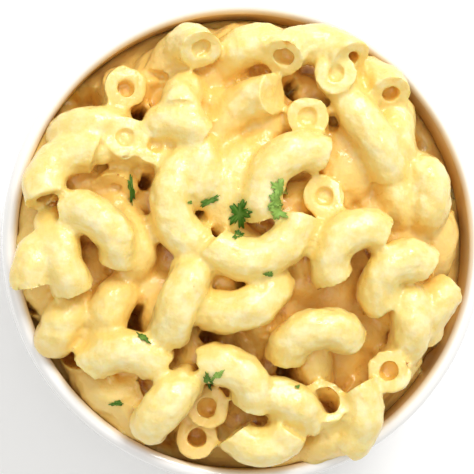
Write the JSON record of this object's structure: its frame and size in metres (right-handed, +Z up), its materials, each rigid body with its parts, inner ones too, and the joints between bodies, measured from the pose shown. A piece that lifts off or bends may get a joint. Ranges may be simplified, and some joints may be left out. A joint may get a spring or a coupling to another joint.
{
  "type": "bowl of macaroni and cheese",
  "caption": "Small round white bowl with upright sides and a foot ring, heaped above its rim with elbow macaroni in cheese sauce.",
  "frame": {"origin": "centre of the foot ring, on the surface that the bowl stands on", "axes": "+Z up through the middle of the bowl; +X and +Y lie in the rim's plane, to the right and to the back as the dish is shown"},
  "size_m": [0.1116, 0.1116, 0.0705],
  "materials": {
    "bowl": "glossy white glaze",
    "macaroni_heap": null
  },
  "bodies": {
    "root": {"bowl": "bowl", "macaroni_heap": "macaroni_heap"}
  },
  "joints": []
}
